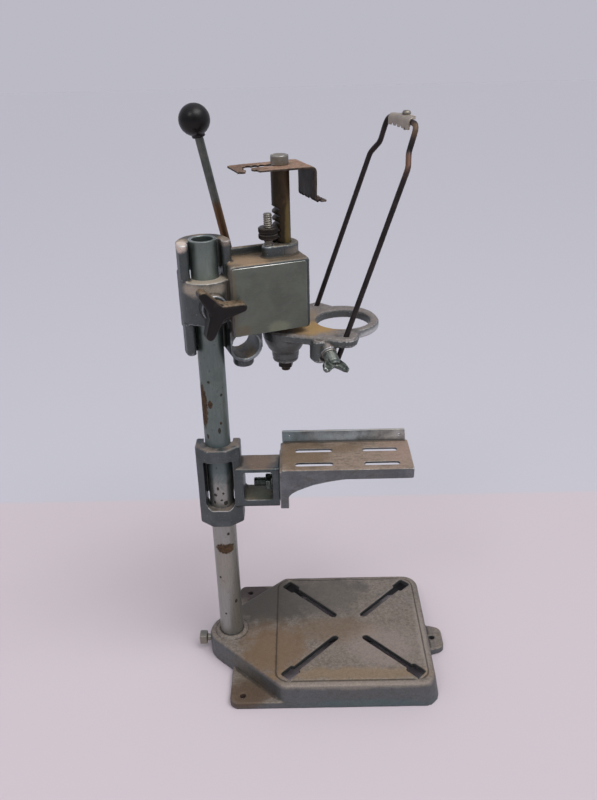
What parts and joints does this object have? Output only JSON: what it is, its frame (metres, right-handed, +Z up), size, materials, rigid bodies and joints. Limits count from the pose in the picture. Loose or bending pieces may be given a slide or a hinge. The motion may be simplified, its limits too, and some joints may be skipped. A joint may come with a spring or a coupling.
{
  "type": "drill press stand",
  "caption": "Bench stand that turns a portable drill into a drill press: column on a slotted base, rack feed head with lever, drill carriage with yoke, and a tilting work table.",
  "frame": {"origin": "on the column's axis, in the plane of the underside of the base", "axes": "+Z up along the column, +X from the column over the base towards its far end, +Y away from the side that shows the cover plate"},
  "size_m": [0.2791, 0.1935, 0.5872],
  "materials": {
    "cast_grey": "bare grey casting, dulled and dusty, with bright worn edges",
    "column_steel": "galvanised tube, dull grey with rust spots",
    "plated_steel": "old zinc plating, dull",
    "zinc_steel": "zinc plated, dull grey-green",
    "dark_steel": "dark oiled steel with brown rust",
    "rusty_steel": "steel with brown rust",
    "cover_plate": "satin sheet, dusty, bare",
    "black_plastic": "black moulded plastic, glossy"
  },
  "bodies": {
    "base": {"base_casting": "cast_grey"},
    "base_screw": {"column_set_screw": "plated_steel"},
    "column": {"column_tube": "column_steel"},
    "head": {"head_casting": "cast_grey", "gear_cover": "cover_plate", "stop_rod": "plated_steel"},
    "head_knob": {"head_clamp_knob": "black_plastic", "head_clamp_stud": "dark_steel"},
    "carriage": {"post_rack": "dark_steel", "post_cap": "plated_steel", "post_washer": "dark_steel", "post_nut": "dark_steel", "carriage_casting": "cast_grey"},
    "lever": {"feed_pinion": "dark_steel", "feed_shaft": "plated_steel", "shaft_collar": "plated_steel", "lever_hub": "cast_grey", "lever_rod": "rusty_steel", "lever_ball": "black_plastic"},
    "steady": {"steady_bracket": "rusty_steel"},
    "yoke": {"yoke_wire": "dark_steel", "yoke_saddle": "plated_steel", "yoke_screw": "plated_steel", "yoke_screw_nut": "plated_steel"},
    "wing_front": {"wing_screw_front": "zinc_steel", "wing_washer_front": "plated_steel"},
    "wing_back": {"wing_screw_back": "zinc_steel", "wing_washer_back": "plated_steel"},
    "depth_nut": {"stop_nut": "dark_steel"},
    "table_carrier": {"table_clamp": "cast_grey", "tilt_bolt": "plated_steel", "tilt_nut": "plated_steel", "tilt_washer": "plated_steel"},
    "table": {"work_table": "cast_grey"},
    "table_knob": {"table_clamp_knob": "black_plastic", "table_clamp_stud": "dark_steel"}
  },
  "joints": [
    {"name": "base_screw_turn", "type": "hinge", "parent": "base", "child": "base_screw", "pos_m": [-0.025, 0, 0.015], "axis": [1, 0, 0], "range_deg": [-180, 0]},
    {"name": "column_turn", "type": "hinge", "parent": "base", "child": "column", "pos_m": [0, 0, 0], "axis": [0, 0, 1], "continuous": true},
    {"name": "head_height", "type": "slide", "parent": "column", "child": "head", "axis": [0, 0, 1], "range_m": [-0.068, 0]},
    {"name": "head_knob_turn", "type": "hinge", "parent": "head", "child": "head_knob", "pos_m": [0, 0, 0.424], "axis": [-0.3502, 0.9367, 0], "range_deg": [-180, 0]},
    {"name": "feed", "type": "slide", "parent": "head", "child": "carriage", "axis": [0, 0, -1], "range_m": [0, 0.036]},
    {"name": "lever_turn", "type": "hinge", "parent": "head", "child": "lever", "pos_m": [0.04552, 0.01702, 0.425], "axis": [-0.3502, 0.9367, 0], "range_deg": [0, 103.13]},
    {"name": "steady_slide", "type": "slide", "parent": "carriage", "child": "steady", "axis": [0.9367, 0.3502, 0], "range_m": [0, 0.028]},
    {"name": "yoke_slide", "type": "slide", "parent": "carriage", "child": "yoke", "axis": [0.3374, 0.0999, 0.9361], "range_m": [-0.055, 0.012]},
    {"name": "wing_front_turn", "type": "hinge", "parent": "carriage", "child": "wing_front", "pos_m": [0.11188, -0.01146, 0.3722], "axis": [0.3314, -0.7669, -0.5496], "range_deg": [-180, 0]},
    {"name": "wing_back_turn", "type": "hinge", "parent": "carriage", "child": "wing_back", "pos_m": [0.08461, 0.08058, 0.3722], "axis": [-0.1398, 0.8236, -0.5496], "range_deg": [0, 180]},
    {"name": "depth_nut_height", "type": "slide", "parent": "head", "child": "depth_nut", "axis": [0, 0, 1], "range_m": [-0.005, 0.006]},
    {"name": "table_height", "type": "slide", "parent": "column", "child": "table_carrier", "axis": [0, 0, 1], "range_m": [-0.15, 0.012]},
    {"name": "table_tilt", "type": "hinge", "parent": "table_carrier", "child": "table", "pos_m": [0.061, 0, 0.225], "axis": [1, 0, 0], "range_deg": [-45, 45]},
    {"name": "table_knob_turn", "type": "hinge", "parent": "table_carrier", "child": "table_knob", "pos_m": [0, 0, 0.2325], "axis": [0, 1, 0], "range_deg": [-180, 0]}
  ],
  "couplings": [
    {"joint": "lever_turn", "follows": "feed", "rad_per_m": 50}
  ]
}
